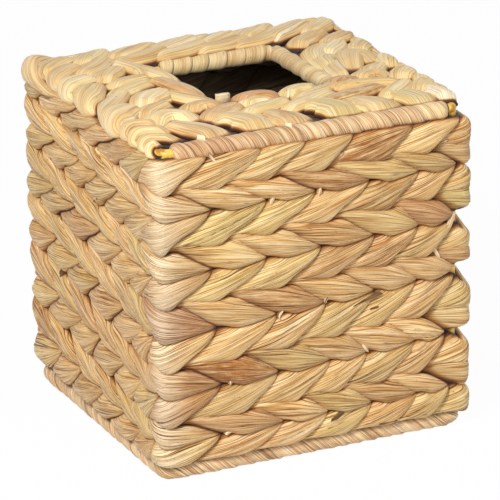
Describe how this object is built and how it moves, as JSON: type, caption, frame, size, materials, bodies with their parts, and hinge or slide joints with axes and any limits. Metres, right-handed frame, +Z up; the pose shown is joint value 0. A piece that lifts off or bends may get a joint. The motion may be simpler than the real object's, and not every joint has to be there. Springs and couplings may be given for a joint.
{
  "type": "tissue box cover",
  "caption": "Cube cover for a box of tissues, twined from natural plant leaf over a welded wire frame, open underneath, with a rectangular opening in its top.",
  "frame": {"origin": "middle of the footprint, on the surface that the rim stands on", "axes": "+Z up, from the rim to the top; front, the face with the wound edge above it, towards -Y; +X to the right, seen from the front"},
  "size_m": [0.1398, 0.1328, 0.1398],
  "materials": {
    "straw_leaf": "dried leaf, matte",
    "pale_leaf": "dried leaf, matte, paler",
    "stake": "stripped stalk, matte",
    "painted_wire": "dull paint"
  },
  "bodies": {
    "root": {"wire_frame": "painted_wire", "side_weave": "straw_leaf", "front_edge_winding": "straw_leaf", "rim_winding_front": "straw_leaf", "rim_winding_right": "straw_leaf", "rim_winding_back": "straw_leaf", "rim_winding_left": "straw_leaf", "rim_corner_front": "straw_leaf", "rim_corner_right": "straw_leaf", "rim_corner_back": "straw_leaf", "rim_corner_left": "straw_leaf", "top_weave": "pale_leaf", "opening_winding_back": "pale_leaf", "opening_winding_right": "pale_leaf", "stake_front_1": "stake", "stake_front_2": "stake", "stake_front_3": "stake", "stake_front_4": "stake", "stake_front_5": "stake", "stake_right_1": "stake", "stake_right_2": "stake", "stake_right_3": "stake", "stake_right_4": "stake", "stake_right_5": "stake", "stake_back_1": "stake", "stake_back_2": "stake", "stake_back_3": "stake", "stake_back_4": "stake", "stake_back_5": "stake", "stake_left_1": "stake", "stake_left_2": "stake", "stake_left_3": "stake", "stake_left_4": "stake", "stake_left_5": "stake", "top_stake_left": "stake", "top_stake_right": "stake", "opening_stake": "stake", "top_stake_front_1": "stake", "top_stake_front_2": "stake", "top_stake_front_3": "stake", "top_stake_back_1": "stake", "top_stake_back_2": "stake", "top_stake_back_3": "stake"}
  },
  "joints": []
}
